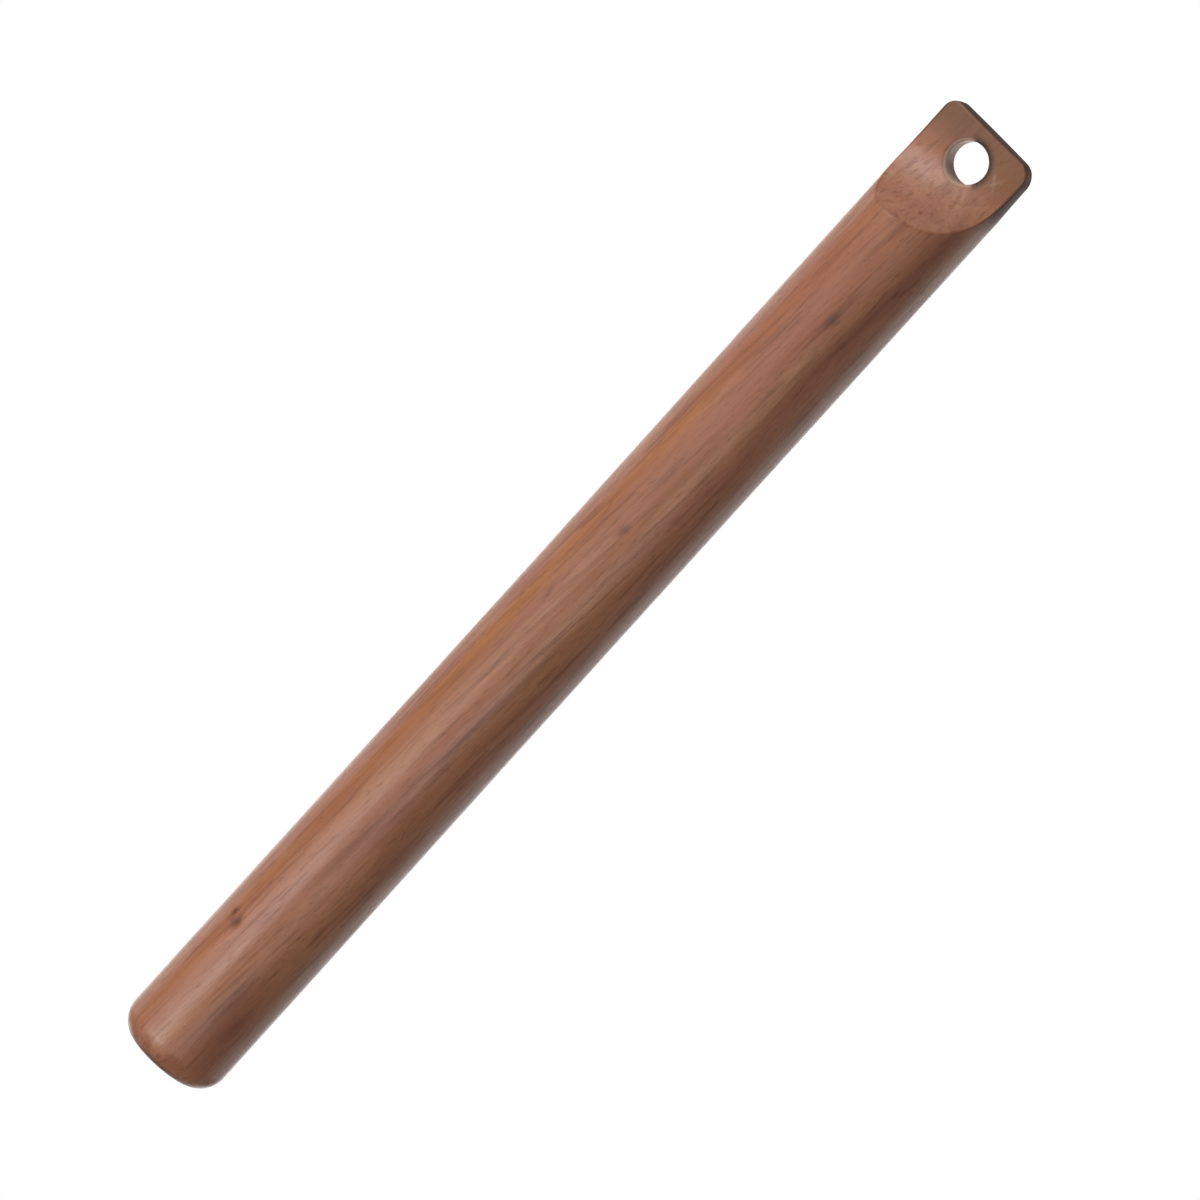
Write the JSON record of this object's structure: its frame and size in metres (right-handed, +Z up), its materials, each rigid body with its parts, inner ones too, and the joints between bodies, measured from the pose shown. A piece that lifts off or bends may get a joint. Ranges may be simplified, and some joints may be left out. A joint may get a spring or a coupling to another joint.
{
  "type": "muddler",
  "caption": "Bar muddler: a straight turned hardwood stick with a rounded muddling foot, and at its other end a thin flat tab with rounded corners and a drilled hanging hole.",
  "frame": {"origin": "centre of the flat of the muddling foot, which the stick stands on", "axes": "+Z up the shaft's axis from the foot to the hanging end; the hanging hole runs along Y, so the tab's two flats face +Y and -Y; X runs across the tab's width"},
  "size_m": [0.019, 0.019, 0.203],
  "materials": {
    "stained_hardwood": "satin clear lacquer over a walnut-brown stain"
  },
  "bodies": {
    "root": {"muddler_body": "stained_hardwood"}
  },
  "joints": []
}
